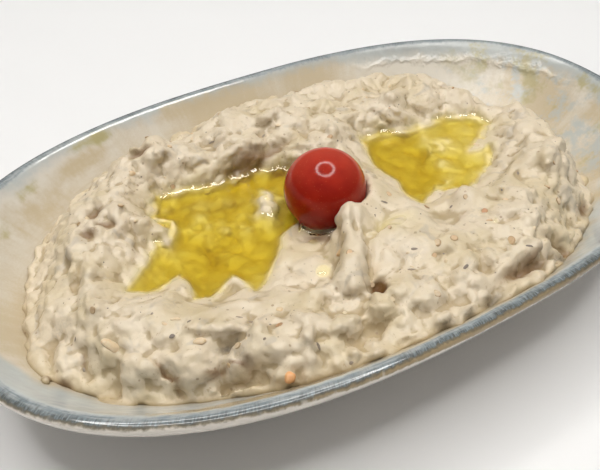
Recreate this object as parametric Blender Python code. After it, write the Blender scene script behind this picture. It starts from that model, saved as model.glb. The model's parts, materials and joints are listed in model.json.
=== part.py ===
"""Baba ganoush in an oval stoneware dish, with two pools of olive oil and a cherry tomato.

Metres, +Z up. The origin is the middle of the dish's foot, on the table; +X runs along the dish.
Five solids: dish, dip, oil_left, oil_right and tomato.
"""

import math

import bmesh
import bpy
from mathutils import Vector, noise
from mathutils.bvhtree import BVHTree

MM = 0.001

# Driving dimensions
DISH_LENGTH = 240 * MM
DISH_WIDTH = 144 * MM
RIM_HEIGHT = 42 * MM
OUTLINE_POWER = 2.5  # 2 is an ellipse; more squares its corners
DISH_SEGMENTS = 76
DIP_SEGMENTS = 96
GAP = 0.4 * MM  # between pieces that touch

# The dish's wall in section, as (inset from the outline, height), from the underside's middle outwards
# and up to the rim, then down the inside to the floor.
UNDERSIDE = [(50, 3.2), (41, 2.6), (39.5, 0), (34.5, 0)]
OUTSIDE = [(33, 4.5), (30.5, 8), (26, 12.5), (18, 19), (10, 26.5), (4.4, 33), (0.9, 38)]
LIP = [(0, 40.2), (0.5, 41.5), (1.8, 42), (3.4, 41.6), (4.5, 40.6)]
INSIDE = [(6.5, 38.2), (12, 32), (20, 24), (28, 17.6), (36, 13.2), (46, 10.8)]

# Where the dip's edge lies against the dish, anticlockwise from +X
DIP_EDGE = [
    (95, 0), (91, 18), (83, 33), (70, 48), (49, 56), (22, 60), (-8, 62), (-38, 57), (-66, 50),
    (-90, 32), (-102, 4), (-102, -17), (-86, -36), (-64, -50), (-45, -61), (-14, -66), (20, -67),
    (45, -58), (71, -43), (89, -22),
]  # fmt: skip
EDGE_THICKNESS = 2 * MM
# How far in from the edge each ring of the dip's mesh lies, as shares of the way out from the middle
TOP_RINGS = [
    0.08, 0.16, 0.23, 0.3, 0.37, 0.44, 0.51, 0.58, 0.65, 0.72, 0.78, 0.84, 0.89, 0.93, 0.96, 0.985,
]  # fmt: skip
UNDER_RINGS = [0.35, 0.7, 0.9]
SHOULDER = 0.19  # share of the way in over which the edge rises to the crest
CREST_HEIGHT = RIM_HEIGHT + 0.8 * MM
LUMPS = [(15 * MM, 4.6 * MM), (7.5 * MM, 3.8 * MM)]  # size across and height of each layer of lumps

# Heaps and dents that stand out of the dip's even surface: middle, reach along and across, turn, height
MOUNDS = {
    "left_slope": ((-92, 4), (14, 24), 5, -3.5),
    "left_heap": ((-80, 2), (8, 7), 60, 2.5),
    "left_front_dent": ((-92, -22), (6, 9), 40, -4.0),
    "left_front_heap": ((-83, -31), (9, 6), -30, 4.0),
    "front_heap_gap": ((-71, -37), (4, 9), -20, -4.0),
    "front_heap_left": ((-59, -43), (9, 6), -25, 3.8),
    "front_heap_middle": ((-40, -50), (9, 7), -15, 3.2),
    "front_dent": ((-27, -53), (4, 8), 10, -4.0),
    "front_heap_right": ((-13, -55), (9, 6), -5, 3.0),
    "smeared_shelf": ((-48, -34), (14, 6), -15, -2.4),
    "right_front_heap": ((26, -50), (17, 9), 5, 2.6),
    "right_front_dent": ((47, -50), (6, 6), 25, -3.4),
    "right_heap": ((72, -22), (14, 13), 0, 2.4),
    "right_saddle": ((62, -2), (8, 7), 60, -2.0),
    "far_right_slope": ((83, 18), (17, 12), 60, -7.0),
    "far_right_heap": ((44, 43), (16, 8), -20, 1.6),
    "far_heap": ((-5, 42), (18, 8), -5, 2.0),
    "far_dent": ((-27, 38), (6, 8), 20, -3.6),
    "far_left_heap": ((-50, 40), (13, 7), 15, 2.2),
    "far_left_slope": ((-85, 28), (13, 12), 40, -2.6),
}
# Narrow folds and creases: the line they follow, their half width, and their height at each end
FOLDS = {
    "fold_by_tomato": ([(-6.5, -16), (-12, -25), (-17, -33), (-22, -40), (-26, -45)], 3.2, 3.4, 1.2),
    "crease_by_fold": ([(-8, -26), (-12, -32), (-15, -39), (-14, -47)], 1.6, -1.0, -4.5),
    "crease_far": ([(-34, 33), (-22, 36), (-12, 31), (-2, 29)], 2.2, -2.6, -1.2),
}  # fmt: skip
# The low place in front of the tomato
HOLLOW_SHORE = [(-13, -12), (-17, -21), (-23, -31), (-31, -33), (-36, -25), (-29, -15), (-20, -7)]
HOLLOW_LEVEL = RIM_HEIGHT - 6.6 * MM
HOLLOW_BANK = 5 * MM
POOL_BANK = 12 * MM
LUMPS_IN_BASINS = 0.3  # share of the lumps' height that is left on the hollow's and the pools' banks

# Each pool's level and depth, and its shore, anticlockwise
POOLS = {
    "oil_left": {
        "level": RIM_HEIGHT - 8.4 * MM,
        "depth": 3 * MM,
        "shore": [
            (-8, 6), (-9, 15), (-20, 19), (-32, 22), (-42, 26), (-51, 24), (-55, 17), (-51, 10),
            (-58, 4), (-68, 0), (-73, -7), (-67, -10), (-59, -8), (-57, -17), (-53, -22),
            (-44, -21), (-40, -23), (-33, -16), (-25, -6), (-16, -3),
        ],
    },
    "oil_right": {
        "level": RIM_HEIGHT - 7.4 * MM,
        "depth": 2.6 * MM,
        "shore": [
            (64, 2), (66, 9), (58, 14), (47, 16), (38, 12), (32, 17), (24, 19), (21, 10),
            (20, -2), (21, -13), (27, -11), (32, -7), (37, -10), (44, -14), (53, -9), (57, -2),
        ],
    },
}  # fmt: skip
SHORE_POINTS = 44
# A pool in section from its bed to its flat top: share of the way out to the shore, share of its depth
POOL_SECTION = [(0.55, 1.0), (0.8, 0.8), (0.93, 0.45), (1.0, 0.12), (1.0, 0.0)]
POOL_HEADROOM = 12 * MM  # cleared of dip over a pool

TOMATO_RADIUS = 12.7 * MM
TOMATO_MIDDLE = Vector((-8.2 * MM, -4.4 * MM, RIM_HEIGHT + 0.2 * MM))


def smooth_step(t):
    t = min(max(t, 0.0), 1.0)
    return t * t * (3 - 2 * t)


def finish(name, mesh_maker, colour, roughness):
    """Turns a bmesh into a named, smooth-shaded object with its own material."""
    bmesh.ops.recalc_face_normals(mesh_maker, faces=mesh_maker.faces)
    mesh = bpy.data.meshes.new(name)
    mesh_maker.to_mesh(mesh)
    mesh_maker.free()
    mesh.shade_smooth()
    mesh.set_sharp_from_angle(angle=math.radians(50))
    material = bpy.data.materials.new(name)
    material.use_nodes = True
    shader = material.node_tree.nodes["Principled BSDF"]
    shader.inputs["Base Color"].default_value = (*colour, 1)
    shader.inputs["Roughness"].default_value = roughness
    mesh.materials.append(material)
    thing = bpy.data.objects.new(name, mesh)
    bpy.context.scene.collection.objects.link(thing)
    return thing


def skin_rings(mesh_maker, rings):
    """Joins closed rings of equally many vertices, and closes the first and the last with a flat face."""
    for ring, following in zip(rings, rings[1:]):
        for i in range(len(ring)):
            j = (i + 1) % len(ring)
            mesh_maker.faces.new((ring[i], ring[j], following[j], following[i]))
    mesh_maker.faces.new(rings[0])
    mesh_maker.faces.new(rings[-1])


def cut_away(thing, cutter):
    """Cuts the cutter's shape out of the thing, and keeps the cutter as a hidden guide."""
    modifier = thing.modifiers.new("cut_" + cutter.name, "BOOLEAN")
    modifier.operation = "DIFFERENCE"
    modifier.object = cutter
    cutter.hide_render = True
    cutter.display_type = "WIRE"


def dish_outline(inset):
    """The dish's oval at a distance in from its outer edge."""
    points = []
    for i in range(DISH_SEGMENTS):
        turn = 2 * math.pi * i / DISH_SEGMENTS
        east, north = math.cos(turn), math.sin(turn)
        x = math.copysign(abs(east) ** (2 / OUTLINE_POWER), east)
        y = math.copysign(abs(north) ** (2 / OUTLINE_POWER), north)
        points.append((x * (DISH_LENGTH / 2 - inset), y * (DISH_WIDTH / 2 - inset)))
    return points


def make_dish():
    mesh_maker = bmesh.new()
    rings = []
    for inset, height in UNDERSIDE + OUTSIDE + LIP + INSIDE:
        outline = dish_outline(inset * MM)
        rings.append([mesh_maker.verts.new((x, y, height * MM)) for x, y in outline])
    skin_rings(mesh_maker, rings)
    return finish("dish", mesh_maker, (0.62, 0.6, 0.54), 0.18)


def closed_curve(corners, count):
    """A smooth closed line of evenly shared points through the corners (Catmull-Rom), in metres."""
    points = []
    for i in range(count):
        place = i * len(corners) / count
        k = int(place)
        t = place - k
        before, start, end, after = (Vector(corners[(k + n) % len(corners)]) for n in (-1, 0, 1, 2))
        point = 0.5 * (
            2 * start
            + (end - before) * t
            + (2 * before - 5 * start + 4 * end - after) * t**2
            + (3 * start - before - 3 * end + after) * t**3
        )
        points.append(point * MM)
    return points


def distance_to_shore(place, shore):
    """How far a place lies outside a closed line; negative inside it."""
    nearest = math.inf
    inside = False
    for a, b in zip(shore, shore[1:] + shore[:1]):
        along = b - a
        t = min(max((place - a).dot(along) / along.length_squared, 0), 1)
        nearest = min(nearest, (place - a - along * t).length)
        if (a.y > place.y) != (b.y > place.y):
            crossing = a.x + (place.y - a.y) * along.x / along.y
            if place.x < crossing:
                inside = not inside
    return -nearest if inside else nearest


def mound_height(place):
    """What the named mounds and dents add to the dip's surface here."""
    total = 0.0
    for middle, reach, turn, height in MOUNDS.values():
        offset = place - Vector(middle) * MM
        cosine, sine = math.cos(math.radians(turn)), math.sin(math.radians(turn))
        along = (offset.x * cosine + offset.y * sine) / (reach[0] * MM)
        across = (offset.y * cosine - offset.x * sine) / (reach[1] * MM)
        total += height * MM * math.exp(-(along**2) - across**2)
    return total


def fold_height(place):
    """What the folds and creases add: a rounded rib along each line, that changes height evenly."""
    total = 0.0
    for line, half_width, start_height, end_height in FOLDS.values():
        nearest, share = math.inf, 0.0
        for k, (a, b) in enumerate(zip(line, line[1:])):
            start, along = Vector(a) * MM, (Vector(b) - Vector(a)) * MM
            t = min(max((place - start).dot(along) / along.length_squared, 0), 1)
            distance = (place - start - along * t).length
            if distance < nearest:
                nearest, share = distance, (k + t) / (len(line) - 1)
        height = start_height + (end_height - start_height) * share
        total += height * MM * math.exp(-((nearest / (half_width * MM)) ** 2))
    return total


def dip_height(place, share, wall_height, shores):
    """The dip's top surface: a rounded edge, a lumpy crest, and banks that fall to the pools."""
    rise = math.sin(math.pi / 2 * min((1 - share) / SHOULDER, 1))
    edge = wall_height + EDGE_THICKNESS
    lumps = sum(height * noise.noise(Vector((place.x, place.y, 0.02)) / size) for size, height in LUMPS)
    crest = CREST_HEIGHT + lumps + mound_height(place)
    height = edge + (crest - edge) * rise
    basins = [(HOLLOW_LEVEL, HOLLOW_BANK, closed_curve(HOLLOW_SHORE, SHORE_POINTS))]
    basins += [(POOLS[name]["level"] + GAP, POOL_BANK, shore) for name, shore in shores.items()]
    for level, bank_width, shore in basins:
        bank = smooth_step(distance_to_shore(place, shore) / bank_width)
        foot = level + LUMPS_IN_BASINS * lumps
        height = min(height, foot + (height - foot) * bank)
    return max(height + fold_height(place), edge)


def make_dip(dish, shores):
    """The dip's solid: its underside follows the dish's inside, a gap above it."""
    dish_tree = BVHTree.FromObject(dish, bpy.context.evaluated_depsgraph_get())
    edge = closed_curve(DIP_EDGE, DIP_SEGMENTS)
    middle = sum(edge, Vector((0, 0))) / DIP_SEGMENTS
    mesh_maker = bmesh.new()

    def ring(share, top):
        vertices = []
        for point in edge:
            place = middle + (point - middle) * share
            start = Vector((place.x, place.y, 2 * RIM_HEIGHT))
            wall_height = dish_tree.ray_cast(start, Vector((0, 0, -1)))[0].z
            height = wall_height + GAP
            if top:
                height = dip_height(place, share, wall_height, shores)
            vertices.append(mesh_maker.verts.new((place.x, place.y, height)))
        return vertices

    under = [ring(share, False) for share in UNDER_RINGS + [1]]
    over = [ring(share, True) for share in reversed(TOP_RINGS)]
    skin_rings(mesh_maker, under + over)
    return finish("dip", mesh_maker, (0.68, 0.58, 0.43), 0.45)


def make_pool(name, shore, grow=0.0, headroom=0.0):
    """A pool with a flat top and a bed that shelves down from its shore.

    As a cutter it grows by the gap all round, and its headroom clears what hangs over the pool.
    """
    pool = POOLS[name]
    middle = sum(shore, Vector((0, 0))) / len(shore)
    mesh_maker = bmesh.new()
    rings = []
    for share, depth in POOL_SECTION:
        top = depth == 0
        height = pool["level"] + headroom if top else pool["level"] - pool["depth"] * depth - grow
        ring = []
        for before, point, after in zip(shore[-1:] + shore, shore, shore[1:] + shore[:1]):
            along = (after - before).normalized()
            place = middle + (point - middle) * share + Vector((along.y, -along.x)) * grow
            ring.append(mesh_maker.verts.new((place.x, place.y, height)))
        rings.append(ring)
    skin_rings(mesh_maker, rings)
    colour = (0.56, 0.38, 0.03)
    return finish(name + "_cutter" if headroom else name, mesh_maker, colour, 0.06)


def make_tomato(name, radius):
    mesh_maker = bmesh.new()
    bmesh.ops.create_uvsphere(mesh_maker, u_segments=24, v_segments=14, radius=radius)
    tomato = finish(name, mesh_maker, (0.42, 0.03, 0.015), 0.12)
    tomato.location = TOMATO_MIDDLE
    return tomato


def main():
    for old in list(bpy.data.objects):
        bpy.data.objects.remove(old)
    shores = {name: closed_curve(pool["shore"], SHORE_POINTS) for name, pool in POOLS.items()}
    dish = make_dish()
    dip = make_dip(dish, shores)
    make_tomato("tomato", TOMATO_RADIUS)
    tomato_room = make_tomato("tomato_cutter", TOMATO_RADIUS + GAP)
    for name, shore in shores.items():
        cut_away(dip, make_pool(name, shore, grow=GAP, headroom=POOL_HEADROOM))
        oil = make_pool(name, shore)
        if name == "oil_left":
            cut_away(oil, tomato_room)
    cut_away(dip, tomato_room)


main()
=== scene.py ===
import json
import math

import bpy
import numpy as np
from mathutils import Euler, Matrix, Vector
from mathutils.bvhtree import BVHTree
from mathutils.kdtree import KDTree

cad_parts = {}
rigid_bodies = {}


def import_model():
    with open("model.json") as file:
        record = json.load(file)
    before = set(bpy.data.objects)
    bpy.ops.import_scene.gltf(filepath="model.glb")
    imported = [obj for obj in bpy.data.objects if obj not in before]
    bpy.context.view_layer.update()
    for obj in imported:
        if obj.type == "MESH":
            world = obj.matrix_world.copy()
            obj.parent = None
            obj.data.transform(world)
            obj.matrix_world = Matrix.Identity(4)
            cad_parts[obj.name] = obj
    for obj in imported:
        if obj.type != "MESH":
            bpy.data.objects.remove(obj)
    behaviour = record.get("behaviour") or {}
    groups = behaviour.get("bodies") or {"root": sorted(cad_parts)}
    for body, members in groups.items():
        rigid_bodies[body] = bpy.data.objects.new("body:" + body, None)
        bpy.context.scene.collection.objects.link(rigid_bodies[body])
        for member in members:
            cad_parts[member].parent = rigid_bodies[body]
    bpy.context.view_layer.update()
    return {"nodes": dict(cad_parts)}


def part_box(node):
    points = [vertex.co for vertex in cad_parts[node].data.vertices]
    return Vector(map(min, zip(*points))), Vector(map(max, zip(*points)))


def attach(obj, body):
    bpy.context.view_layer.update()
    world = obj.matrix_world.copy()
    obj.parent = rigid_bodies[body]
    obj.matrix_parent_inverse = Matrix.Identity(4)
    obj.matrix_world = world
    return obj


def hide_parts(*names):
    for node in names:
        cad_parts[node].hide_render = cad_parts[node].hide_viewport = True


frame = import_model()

mm = 0.001
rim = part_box("dish")[1].z  # height of the dish's rim
upward = Vector((0, 0, 1))


def pick(piece):
    bpy.ops.object.select_all(action="DESELECT")
    piece.select_set(True)
    bpy.context.view_layer.objects.active = piece


def modify(piece, kind, **values):  # adds a modifier and applies it
    pick(piece)
    modifier = piece.modifiers.new(kind.lower(), kind)
    for name, value in values.items():
        setattr(modifier, name, value)
    bpy.ops.object.modifier_apply(modifier=modifier.name)


def newest(name):
    piece = bpy.context.active_object
    piece.name = name
    piece.data.name = name
    return piece


def settle(piece):  # the piece's place goes into its mesh
    pick(piece)
    bpy.ops.object.transform_apply(location=True, rotation=True, scale=True)


def shadeSmooth(piece):
    pick(piece)
    bpy.ops.object.shade_smooth()


def editAll():
    bpy.ops.object.mode_set(mode="EDIT")
    bpy.ops.mesh.select_all(action="SELECT")


def leaveEdit():
    bpy.ops.object.mode_set(mode="OBJECT")


def copyOfNode(nodeName, name):
    piece = bpy.data.objects.new(name, frame["nodes"][nodeName].data.copy())
    bpy.context.scene.collection.objects.link(piece)
    pick(piece)
    editAll()
    bpy.ops.mesh.remove_doubles(threshold=0.01 * mm)
    leaveEdit()
    return piece


def copyTo(template, places):  # a copy of the template at each place, with its own mesh
    copies = []
    for place in places:
        copy = template.copy()
        copy.data = template.data.copy()
        copy.data.transform(place)
        bpy.context.scene.collection.objects.link(copy)
        copies.append(copy)
    return copies


def join(pieces, name):
    pick(pieces[0])
    for piece in pieces:
        piece.select_set(True)
    bpy.ops.object.join()
    return newest(name)


def selectFaces(piece, wanted):  # goes into edit mode with only the wanted faces selected
    pick(piece)
    bpy.ops.object.mode_set(mode="EDIT")
    bpy.ops.mesh.select_mode(type="FACE")
    bpy.ops.mesh.select_all(action="DESELECT")
    bpy.ops.object.mode_set(mode="OBJECT")
    for polygon in piece.data.polygons:
        polygon.select = wanted(polygon)
    bpy.ops.object.mode_set(mode="EDIT")


def points(piece, what="co"):
    data = np.empty(len(piece.data.vertices) * 3)
    piece.data.vertices.foreach_get(what, data)
    return data.reshape(-1, 3)


def movePoints(piece, place):
    piece.data.vertices.foreach_set("co", place.ravel())
    piece.data.update()


def giveAttribute(piece, name, values):
    kind = "FLOAT" if values.ndim == 1 else "FLOAT_VECTOR"
    attribute = piece.data.attributes.new(name, kind, "POINT")
    attribute.data.foreach_set("value" if kind == "FLOAT" else "vector", values.astype(np.float32).ravel())


def cloudTexture(name, size):
    texture = bpy.data.textures.new(name, "CLOUDS")
    texture.noise_scale = size
    return texture


def smoothStep(low, high, value):
    t = np.clip((value - low) / (high - low), 0, 1)
    return t * t * (3 - 2 * t)


def blob(place, x, y, length, width, turn, power=2):  # 1 at the middle of an oval patch, 0 well outside it
    c, s = math.cos(math.radians(turn)), math.sin(math.radians(turn))
    east, north = place[:, 0] / mm - x, place[:, 1] / mm - y
    u, v = (east * c + north * s) / length, (north * c - east * s) / width
    return np.exp(-np.abs(u) ** power - np.abs(v) ** power)


def patchwork(place, patches, power):  # the strongest of some patches at each place
    amount = np.zeros(len(place))
    for *patch, strength in patches:
        amount = np.maximum(amount, strength * blob(place, *patch, power))
    return amount


def faceOutward(piece):  # turns a closed piece's faces outward
    mesh = piece.data
    mesh.calc_loop_triangles()
    volume = sum(mesh.vertices[t.vertices[0]].co.dot(mesh.vertices[t.vertices[1]].co.cross(
        mesh.vertices[t.vertices[2]].co)) for t in mesh.loop_triangles)
    if volume < 0:
        mesh.flip_normals()


def treeOf(piece):
    bpy.context.view_layer.update()
    return BVHTree.FromObject(piece, bpy.context.evaluated_depsgraph_get())


def below(trees, x, y):  # the highest point under a place, and its normal
    hits = [tree.ray_cast(Vector((x, y, 0.2)), Vector((0, 0, -1)))[:2] for tree in trees]
    return max((hit for hit in hits if hit[0] is not None), key=lambda hit: hit[0].z)


def heightBelow(tree, x, y):
    hit = tree.ray_cast(Vector((x, y, 0.2)), Vector((0, 0, -1)))[0]
    return None if hit is None else hit.z


def gaps(tree, place, limit=1):  # how far each point is from a surface, up to a limit
    return np.array([tree.find_nearest(Vector(spot), limit)[3] or limit for spot in place])


# a node's output that can be reckoned with: each sign adds a Math node
class Value:
    def __init__(self, nodes, socket):
        self.nodes, self.socket = nodes, socket

    def __add__(self, other):
        return self.nodes.math("ADD", self, other)

    def __sub__(self, other):
        return self.nodes.math("SUBTRACT", self, other)

    def __rsub__(self, other):
        return self.nodes.math("SUBTRACT", other, self)

    def __mul__(self, other):
        return self.nodes.math("MULTIPLY", self, other)

    def __truediv__(self, other):
        return self.nodes.math("DIVIDE", self, other)


# a material's or a group's nodes, added and linked in one call
class Nodes:
    def __init__(self, tree):
        self.tree = tree

    def add(self, kind, inputs=None, **settings):
        node = self.tree.nodes.new("ShaderNode" + kind)
        for name, value in sorted(settings.items(), reverse=True):  # dimensions before the feature
            setattr(node, name, value)
        for name, value in (inputs or {}).items():
            self.feed(node.inputs[name], value)
        return node

    def out(self, node, output=0):
        return Value(self, node.outputs[output])

    def feed(self, socket, value):
        if isinstance(value, Value):
            self.tree.links.new(value.socket, socket)
        else:
            socket.default_value = value

    def math(self, operation, a, b=0.0):
        return self.out(self.add("Math", {0: a, 1: b}, operation=operation))

    def highest(self, a, b):
        return self.math("MAXIMUM", a, b)

    def fading(self, power):  # e to a power
        return self.math("POWER", 2.718, power)

    def vector(self, operation, a, b=None, output="Vector", **more):
        inputs = {0: a, **more} if b is None else {0: a, 1: b}
        return self.out(self.add("VectorMath", inputs, operation=operation), output)

    def length(self, a):
        return self.vector("LENGTH", a, output="Value")

    def parts(self, place):
        node = self.add("SeparateXYZ", {0: place})
        return [self.out(node, axis) for axis in "XYZ"]

    def place(self):
        return self.out(self.add("TexCoord"), "Object")

    def fact(self, name, output="Fac"):  # what the piece's points carry under a name
        return self.out(self.add("Attribute", attribute_name=name), output)

    def mix(self, factor, a, b):
        node = self.add("Mix", data_type="RGBA")
        for socket, value in ((0, factor), (6, a), (7, b)):
            self.feed(node.inputs[socket], value)
        return self.out(node, 2)

    def step(self, value, low, high, least=0.0, most=1.0):  # least at the low value, most at the high one
        inputs = {"Value": value, "From Min": low, "From Max": high, "To Min": least, "To Max": most}
        return self.out(self.add("MapRange", inputs, interpolation_type="SMOOTHSTEP"))

    def noise(self, place, scale, detail=3.0, roughness=0.5, distortion=0.0):
        inputs = {"Vector": place, "Scale": scale, "Detail": detail, "Roughness": roughness,
                  "Distortion": distortion}
        return self.out(self.add("TexNoise", inputs), "Fac")

    def cells(self, place, scale):
        return self.out(self.add("TexVoronoi", {"Vector": place, "Scale": scale}), "Distance")

    def clouds(self, place, scale, detail, low, high, least=0.0, most=1.0, roughness=0.5, distortion=0.0):
        inputs = {"Place": place, "Scale": scale, "Detail": detail, "Roughness": roughness,
                  "Distortion": distortion, "Low": low, "High": high, "Least": least, "Most": most}
        return self.out(self.add("Group", inputs, node_tree=cloudMask))

    def bump(self, height, distance, strength, normal=None):
        inputs = {"Height": height, "Distance": distance, "Strength": strength}
        return self.out(self.add("Bump", inputs if normal is None else {**inputs, "Normal": normal}))


def newGroup(name, inputs, outputs):
    group = bpy.data.node_groups.new(name, "ShaderNodeTree")
    for side, sockets in (("INPUT", inputs), ("OUTPUT", outputs)):
        for socket, kind in sockets.items():
            group.interface.new_socket(socket, in_out=side, socket_type="NodeSocket" + kind)
    nodes = Nodes(group)
    given = group.nodes.new("NodeGroupInput")
    return nodes, [nodes.out(given, name) for name in inputs], group.nodes.new("NodeGroupOutput").inputs


def makeCloudMask():  # soft-edged clouds, for the dish, the dip and the tomato
    names = ("Scale", "Detail", "Roughness", "Distortion", "Low", "High", "Least", "Most")
    nodes, (place, *shape, low, high, least, most), outputs = newGroup(
        "cloudMask", {"Place": "Vector", **{name: "Float" for name in names}}, {"Mask": "Float"})
    nodes.feed(outputs["Mask"], nodes.step(nodes.noise(place, *shape), low, high, least, most))
    return nodes.tree


def makeTonedSkin():  # grainy skin whose colour goes from pale to dark with each copy's tone
    inputs = {"Place": "Vector", "Tone": "Float", "Pale": "Color", "Middle": "Color", "Dark": "Color"}
    nodes, (place, tone, pale, middle, dark), outputs = newGroup("tonedSkin", inputs,
                                                                 {"Colour": "Color", "Grain": "Float"})
    colour = nodes.mix(nodes.step(tone, 0.0, 0.5), pale, middle)
    colour = nodes.mix(nodes.step(tone, 0.5, 1.0), colour, dark)
    grain = nodes.noise(place, 1400, 3)
    nodes.feed(outputs["Colour"], nodes.mix(nodes.step(grain, 0.35, 0.75, 0, 0.25), colour, dark))
    nodes.feed(outputs["Grain"], grain)
    return nodes.tree


cloudMask = makeCloudMask()
tonedSkin = makeTonedSkin()


def newMaterial(name, **values):
    material = bpy.data.materials.new(name)
    material.use_nodes = True
    shader = material.node_tree.nodes["Principled BSDF"]
    for key, value in values.items():
        shader.inputs[key.replace("_", " ")].default_value = value
    return material, Nodes(material.node_tree), shader


def wear(piece, material):
    piece.data.materials.clear()
    piece.data.materials.append(material)


camera = {"lens": 45.07, "aim": (-25.8, -18.3, 42), "distance": 213.6, "azimuth": -31.76, "elevation": 40.87}


def makeCamera():
    azimuth, elevation = math.radians(camera["azimuth"]), math.radians(camera["elevation"])
    back = Vector((math.sin(azimuth) * math.cos(elevation), -math.cos(azimuth) * math.cos(elevation),
                   math.sin(elevation)))
    bpy.ops.object.camera_add(location=(Vector(camera["aim"]) + back * camera["distance"]) * mm)
    thing = bpy.context.active_object
    thing.rotation_euler = (-back).to_track_quat("-Z", "Y").to_euler()
    thing.data.lens = camera["lens"]
    thing.data.sensor_width = 36
    thing.data.clip_start = 0.01
    bpy.context.scene.camera = thing


makeCamera()
print("camera placed")

dish = {
    "around": 160,
    "power": 2.5,  # of the oval: 2 is an ellipse, more squares its corners
    "half": (120, 72),
    # the wall in section: inset from the outline and height, from under the foot up, over the rim and down
    "profile": [
        (50, 3.2), (41, 2.6), (39.8, 0.6), (39.2, 0), (34.8, 0), (34.0, 0.8), (33, 4.5), (30.5, 8),
        (26, 12.5), (18, 19), (10, 26.5), (4.4, 33), (1.9, 36), (0.7, 38.4), (0, 40.2), (0.25, 41.2),
        (0.9, 41.8), (1.8, 42), (2.7, 41.9), (3.6, 41.5), (4.5, 40.6), (6.5, 38.2), (9, 35.3), (12, 32),
        (20, 24), (28, 17.6), (36, 13.2), (46, 10.8), (56, 10.4)],
    "crest": 17,  # index of the profile's highest point
    "unevenness": 0.12,
    "unevennessSize": 17,
    "glaze": {
        "pale": (0.635, 0.59, 0.51, 1),
        "blue": (0.43, 0.455, 0.445, 1),
        "blueWhite": (0.48, 0.53, 0.545, 1),
        "greyBlue": (0.34, 0.36, 0.355, 1),
        "tan": (0.50, 0.41, 0.27, 1),
        "olive": (0.40, 0.35, 0.17, 1),
        "slate": (0.20, 0.235, 0.25, 1),
        "dark": (0.075, 0.08, 0.075, 1),
        "brown": (0.37, 0.28, 0.155, 1),
        "outside": (0.80, 0.74, 0.655, 1)},
    "greasyReach": 2.4,  # how far the dip's oil creeps up the wall
    # clouds of another colour, on the near right also painted shade: x, y, half length and width, turn,
    # strength
    "tanClouds": [
        (-84, 44, 24, 6, 28, 0.55), (-66, 56, 16, 3, 20, 0.7), (-20, 66, 26, 3, 3, 0.5),
        (105.5, 5, 5, 6, 0, 0.75), (109, -9, 5, 9, 0, 0.6), (96, -28, 6, 9, -30, 0.9),
        (87, -41, 10, 6, -35, 0.9), (101, 26, 5, 5, 30, 0.55), (-62, -58, 30, 4, -12, 0.75),
        (-8, -66, 50, 6, 2, 0.55)],
    "oliveClouds": [
        (-56, 62.6, 4.5, 2, 10, 0.8), (-64, 60.6, 6, 1.3, 18, 0.55), (-96, 38, 4, 2.4, 50, 0.5),
        (100, -27, 4, 8, -20, 0.6), (-85, 49.5, 8, 1.6, 32, 0.5)],
}


def insetOf(place):  # how far each point lies in from the dish's outline, in mm
    x, y = np.abs(place[:, 0]) / mm, np.abs(place[:, 1]) / mm
    low, high = np.full(len(x), -4.0), np.full(len(x), dish["half"][1] - 0.01)
    for _ in range(26):
        middle = (low + high) / 2
        beyond = (x / (dish["half"][0] - middle)) ** dish["power"] + (
            y / (dish["half"][1] - middle)) ** dish["power"] > 1
        high, low = np.where(beyond, middle, high), np.where(beyond, low, middle)
    return (low + high) / 2


def ovalPoint(east, north, inset):  # a point of the dish's outline, or so far in from it, in mm
    return [math.copysign(abs(part) ** (2 / dish["power"]), part) * (half - inset)
            for part, half in zip((east, north), dish["half"])]


def makeDish():
    a, b = dish["half"]
    profile = dish["profile"]
    start = profile[0]
    bpy.ops.mesh.primitive_circle_add(vertices=dish["around"], radius=1)
    piece = newest("glazed_dish")
    for vertex in piece.data.vertices:
        vertex.co = Vector((*ovalPoint(vertex.co.x, vertex.co.y, start[0]), start[1])) * mm
    editAll()
    for (inset, height), (nextInset, nextHeight) in zip(profile, profile[1:]):
        bpy.ops.mesh.extrude_region_move(
            TRANSFORM_OT_translate={"value": (0, 0, (nextHeight - height) * mm)})
        bpy.ops.transform.resize(value=((a - nextInset) / (a - inset), (b - nextInset) / (b - inset), 1),
                                 center_override=(0, 0, 0))
    leaveEdit()
    modify(piece, "SUBSURF", levels=1, render_levels=1)
    bpy.ops.object.mode_set(mode="EDIT")
    bpy.ops.mesh.select_mode(type="EDGE")
    bpy.ops.mesh.select_all(action="DESELECT")
    bpy.ops.mesh.select_non_manifold()
    bpy.ops.mesh.edge_face_add()
    bpy.ops.mesh.select_all(action="SELECT")
    bpy.ops.mesh.normals_make_consistent(inside=False)
    leaveEdit()
    texture = cloudTexture("unevenGlaze", dish["unevennessSize"] * mm)
    modify(piece, "DISPLACE", texture=texture, strength=dish["unevenness"] * mm, mid_level=0.5)
    shadeSmooth(piece)
    return piece


# gives each point the crest's place beside it and how far along the wall it lies from the crest
def markGlaze(piece):
    place = points(piece)
    inset = insetOf(place)
    profile = np.array(dish["profile"], float)
    steps = np.hypot(*np.diff(profile, axis=0).T)
    travelled = np.concatenate([[0], np.cumsum(steps)])
    travelled -= travelled[dish["crest"]]
    best, found = np.full(len(place), 1e9), np.zeros(len(place))
    at = np.stack([inset, place[:, 2] / mm], 1)
    for start, end, so, step in zip(profile, profile[1:], travelled, steps):
        t = np.clip(((at - start) @ (end - start)) / step ** 2, 0, 1)
        away = np.hypot(*(at - start - t[:, None] * (end - start)).T)
        found = np.where(away < best, so + t * step, found)
        best = np.minimum(best, away)
    scale = dish["half"][1] / np.maximum(dish["half"][1] - inset, 1)
    crest = np.stack([place[:, 0] / mm * (dish["half"][0] / (dish["half"][0] - inset)),
                      place[:, 1] / mm * scale, found], 1)
    giveAttribute(piece, "glazePlace", crest * mm)


def markGreasy(piece, tree):  # how near the wall is to the dip that touches it, and its clouds
    place = points(piece)
    giveAttribute(piece, "greasy", np.exp(-((gaps(tree, place) / (dish["greasyReach"] * mm)) ** 2)))
    for name in ("tanClouds", "oliveClouds"):
        giveAttribute(piece, name, patchwork(place, dish[name], 2) * (insetOf(place) > 0.5))


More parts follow.
